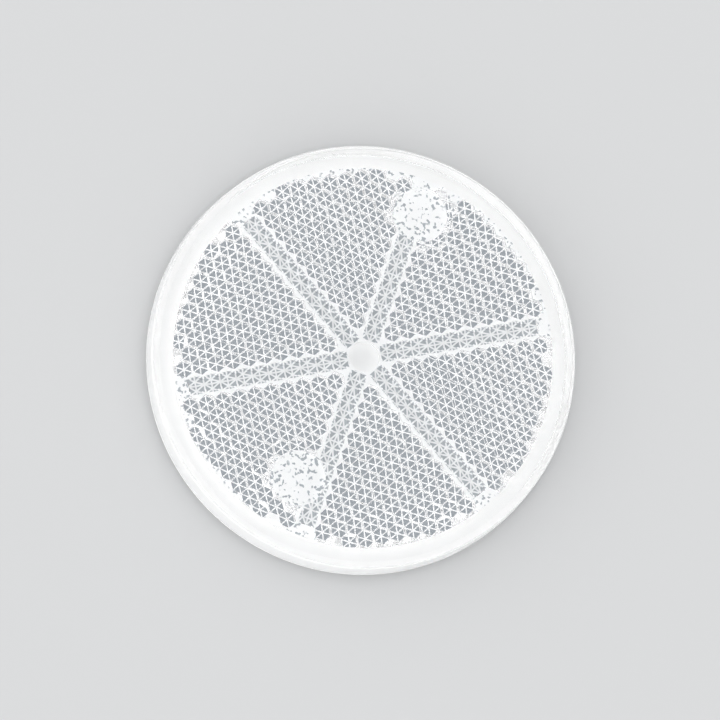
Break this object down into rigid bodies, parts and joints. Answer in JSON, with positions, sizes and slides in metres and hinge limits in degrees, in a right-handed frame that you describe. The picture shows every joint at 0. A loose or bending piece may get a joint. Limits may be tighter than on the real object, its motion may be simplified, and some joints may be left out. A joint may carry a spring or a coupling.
{
  "type": "round reflector",
  "caption": "Round clear prism reflector: lens with a corner-cube prism field in six sectors, welded on a white back plate with a foam adhesive pad.",
  "frame": {"origin": "centre of the adhesive pad's rear face, the face that is stuck down", "axes": "+Z along the reflector's optical axis, the way the front face looks; +Y along the prism band that passes the two plain mark pads"},
  "size_m": [0.06, 0.06, 0.0072],
  "materials": {
    "clear_lens": "clear polished acrylic, prisms on its back look silver grey",
    "white_plate": "white, satin",
    "foam": "matte closed-cell foam with a tacky face"
  },
  "bodies": {
    "root": {"lens": "clear_lens", "back_plate": "white_plate", "adhesive_pad": "foam"}
  },
  "joints": []
}
